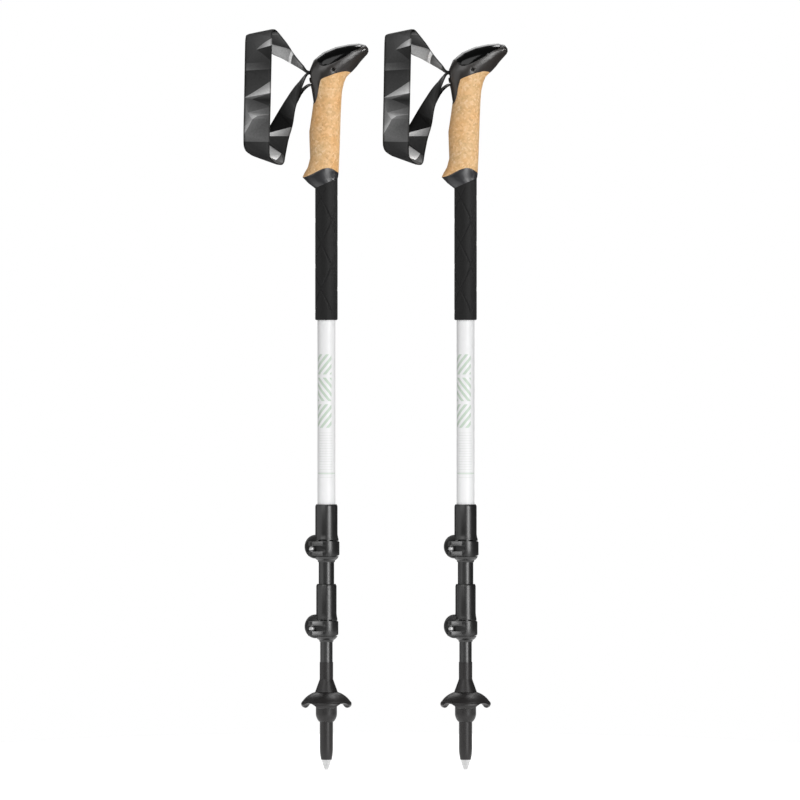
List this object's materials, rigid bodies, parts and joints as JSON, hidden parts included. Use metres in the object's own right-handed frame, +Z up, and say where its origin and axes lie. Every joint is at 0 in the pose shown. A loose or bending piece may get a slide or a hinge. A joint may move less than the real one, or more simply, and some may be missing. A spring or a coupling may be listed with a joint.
{
  "type": "trekking poles",
  "caption": "Telescoping trekking poles with angled cork grips, foam extensions, wrist straps, lever locks and baskets, pushed together.",
  "frame": {"origin": "on the ground, at the height of the tips, midway between the two poles", "axes": "+Z up along the poles, +X towards the grips' noses and from the left pole to the right, +Y away from the side that the levers cross"},
  "size_m": [0.2428, 0.0464, 0.6813],
  "materials": {
    "cork": "cork",
    "foam": "matte foam",
    "gloss_plastic": "glossy",
    "satin_plastic": "satin",
    "white_lacquer": "gloss",
    "dark_anodised": "dark anodised",
    "steel": "plain",
    "carbide": "ground",
    "webbing": "woven"
  },
  "bodies": {
    "left_lower": {"left_lower_shaft": "dark_anodised", "left_lower_shaft_plug": "satin_plastic", "left_flex_tip": "satin_plastic", "left_carbide_tip": "carbide"},
    "left_basket": {"left_basket": "satin_plastic"},
    "left_middle": {"left_middle_shaft": "dark_anodised", "left_middle_shaft_plug": "satin_plastic", "left_lower_lock_sleeve": "gloss_plastic", "left_lower_lock_plate": "dark_anodised", "left_lower_lock_bolt": "steel", "left_lower_lock_pin": "steel"},
    "left_upper": {"left_upper_shaft": "white_lacquer", "left_foam_grip": "foam", "left_cork_grip": "cork", "left_grip_collar": "gloss_plastic", "left_grip_head": "satin_plastic", "left_grip_top_pad": "gloss_plastic", "left_strap_pin": "steel", "left_strap_anchor": "webbing", "left_upper_lock_sleeve": "gloss_plastic", "left_upper_lock_plate": "dark_anodised", "left_upper_lock_bolt": "steel", "left_upper_lock_pin": "steel"},
    "left_lower_lever": {"left_lower_lock_lever": "gloss_plastic"},
    "left_lower_nut": {"left_lower_lock_nut": "satin_plastic"},
    "left_upper_lever": {"left_upper_lock_lever": "gloss_plastic"},
    "left_upper_nut": {"left_upper_lock_nut": "satin_plastic"},
    "left_wedge": {"left_strap_wedge": "satin_plastic"},
    "left_strap": {"left_wrist_strap": "webbing", "left_strap_tail": "webbing"},
    "right_lower": {"right_lower_shaft": "dark_anodised", "right_lower_shaft_plug": "satin_plastic", "right_flex_tip": "satin_plastic", "right_carbide_tip": "carbide"},
    "right_basket": {"right_basket": "satin_plastic"},
    "right_middle": {"right_middle_shaft": "dark_anodised", "right_middle_shaft_plug": "satin_plastic", "right_lower_lock_sleeve": "gloss_plastic", "right_lower_lock_plate": "dark_anodised", "right_lower_lock_bolt": "steel", "right_lower_lock_pin": "steel"},
    "right_upper": {"right_upper_shaft": "white_lacquer", "right_foam_grip": "foam", "right_cork_grip": "cork", "right_grip_collar": "gloss_plastic", "right_grip_head": "satin_plastic", "right_grip_top_pad": "gloss_plastic", "right_strap_pin": "steel", "right_strap_anchor": "webbing", "right_upper_lock_sleeve": "gloss_plastic", "right_upper_lock_plate": "dark_anodised", "right_upper_lock_bolt": "steel", "right_upper_lock_pin": "steel"},
    "right_lower_lever": {"right_lower_lock_lever": "gloss_plastic"},
    "right_lower_nut": {"right_lower_lock_nut": "satin_plastic"},
    "right_upper_lever": {"right_upper_lock_lever": "gloss_plastic"},
    "right_upper_nut": {"right_upper_lock_nut": "satin_plastic"},
    "right_wedge": {"right_strap_wedge": "satin_plastic"},
    "right_strap": {"right_wrist_strap": "webbing", "right_strap_tail": "webbing"}
  },
  "joints": [
    {"name": "left_middle_slide", "type": "slide", "parent": "left_lower", "child": "left_middle", "axis": [0, 0, 1], "range_m": [0, 0.34]},
    {"name": "left_upper_slide", "type": "slide", "parent": "left_middle", "child": "left_upper", "axis": [0, 0, 1], "range_m": [0, 0.34]},
    {"name": "left_basket_turn", "type": "hinge", "parent": "left_lower", "child": "left_basket", "pos_m": [-0.064, 0, 0.06], "axis": [0, 0, 1], "range_deg": [0, 90]},
    {"name": "left_upper_lever", "type": "hinge", "parent": "left_upper", "child": "left_upper_lever", "pos_m": [-0.0774, -0.00982, 0.2035], "axis": [0, 0, -1], "range_deg": [0, 130]},
    {"name": "left_upper_nut", "type": "hinge", "parent": "left_upper", "child": "left_upper_nut", "pos_m": [-0.0774, 0.007, 0.2035], "axis": [0, 1, 0], "range_deg": [-180, 180]},
    {"name": "left_lower_lever", "type": "hinge", "parent": "left_middle", "child": "left_lower_lever", "pos_m": [-0.0774, -0.00982, 0.1302], "axis": [0, 0, -1], "range_deg": [0, 130]},
    {"name": "left_lower_nut", "type": "hinge", "parent": "left_middle", "child": "left_lower_nut", "pos_m": [-0.0774, 0.007, 0.1302], "axis": [0, 1, 0], "range_deg": [-180, 180]},
    {"name": "left_wedge_slide", "type": "slide", "parent": "left_upper", "child": "left_wedge", "axis": [-1, 0, 0], "range_m": [0, 0.0025]},
    {"name": "left_strap_swing", "type": "hinge", "parent": "left_upper", "child": "left_strap", "pos_m": [-0.081, 0, 0.641], "axis": [0, 1, 0], "range_deg": [0, 25]},
    {"name": "right_pole_spacing", "type": "slide", "parent": "left_lower", "child": "right_lower", "axis": [1, 0, 0], "range_m": [0, 0.25]},
    {"name": "right_middle_slide", "type": "slide", "parent": "right_lower", "child": "right_middle", "axis": [0, 0, 1], "range_m": [0, 0.34]},
    {"name": "right_upper_slide", "type": "slide", "parent": "right_middle", "child": "right_upper", "axis": [0, 0, 1], "range_m": [0, 0.34]},
    {"name": "right_basket_turn", "type": "hinge", "parent": "right_lower", "child": "right_basket", "pos_m": [0.064, 0, 0.06], "axis": [0, 0, 1], "range_deg": [0, 90]},
    {"name": "right_upper_lever", "type": "hinge", "parent": "right_upper", "child": "right_upper_lever", "pos_m": [0.0506, -0.00982, 0.2035], "axis": [0, 0, -1], "range_deg": [0, 130]},
    {"name": "right_upper_nut", "type": "hinge", "parent": "right_upper", "child": "right_upper_nut", "pos_m": [0.0506, 0.007, 0.2035], "axis": [0, 1, 0], "range_deg": [-180, 180]},
    {"name": "right_lower_lever", "type": "hinge", "parent": "right_middle", "child": "right_lower_lever", "pos_m": [0.0506, -0.00982, 0.1302], "axis": [0, 0, -1], "range_deg": [0, 130]},
    {"name": "right_lower_nut", "type": "hinge", "parent": "right_middle", "child": "right_lower_nut", "pos_m": [0.0506, 0.007, 0.1302], "axis": [0, 1, 0], "range_deg": [-180, 180]},
    {"name": "right_wedge_slide", "type": "slide", "parent": "right_upper", "child": "right_wedge", "axis": [-1, 0, 0], "range_m": [0, 0.0025]},
    {"name": "right_strap_swing", "type": "hinge", "parent": "right_upper", "child": "right_strap", "pos_m": [0.047, 0, 0.641], "axis": [0, 1, 0], "range_deg": [0, 25]}
  ]
}
